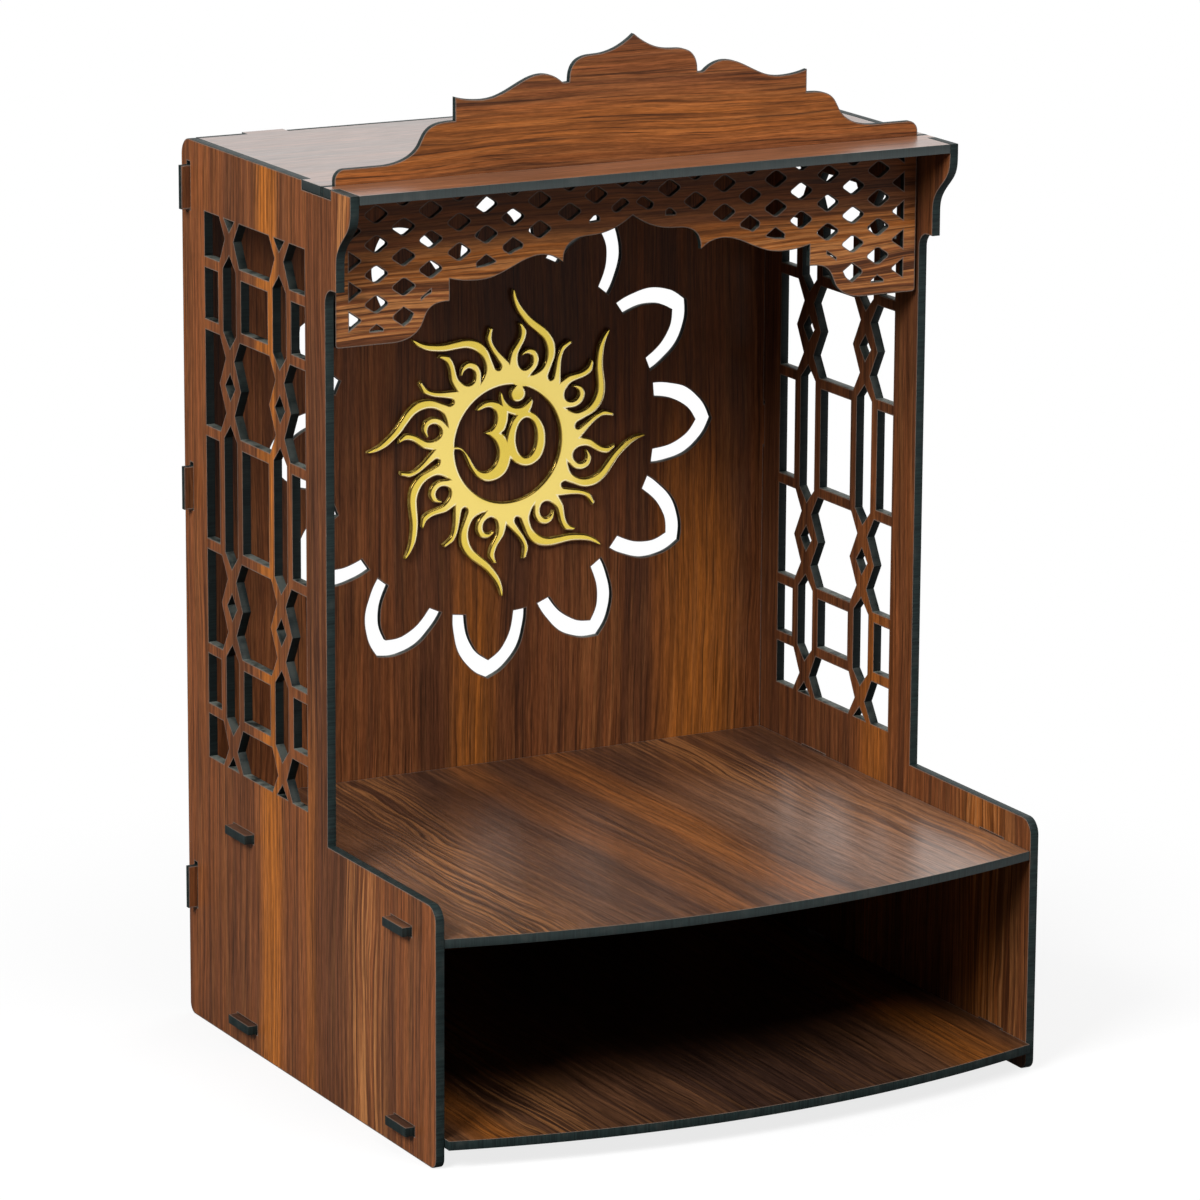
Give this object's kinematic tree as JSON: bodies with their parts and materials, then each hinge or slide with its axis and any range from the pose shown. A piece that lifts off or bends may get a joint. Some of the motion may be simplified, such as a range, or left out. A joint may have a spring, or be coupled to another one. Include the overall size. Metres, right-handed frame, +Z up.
{
  "type": "pooja mandir",
  "caption": "Small flat-pack home temple: fretwork front, lattice sides, open altar chamber over an open shelf, and a flame sun emblem on the back.",
  "frame": {"origin": "middle of the footprint, on the floor", "axes": "+Z up, -Y towards the open front, +X to the right as seen from the front"},
  "size_m": [0.3808, 0.341, 0.5722],
  "materials": {
    "walnut_laminate": "satin walnut print laminate with charred laser-cut edges",
    "gold_acrylic": "glossy gold acrylic"
  },
  "bodies": {
    "root": {"side_panel_left": "walnut_laminate", "side_panel_right": "walnut_laminate", "back_panel": "walnut_laminate", "roof_board": "walnut_laminate", "canopy_board": "walnut_laminate", "fretwork_front": "walnut_laminate", "altar_deck": "walnut_laminate", "bottom_shelf": "walnut_laminate", "sun_emblem": "gold_acrylic"}
  },
  "joints": []
}
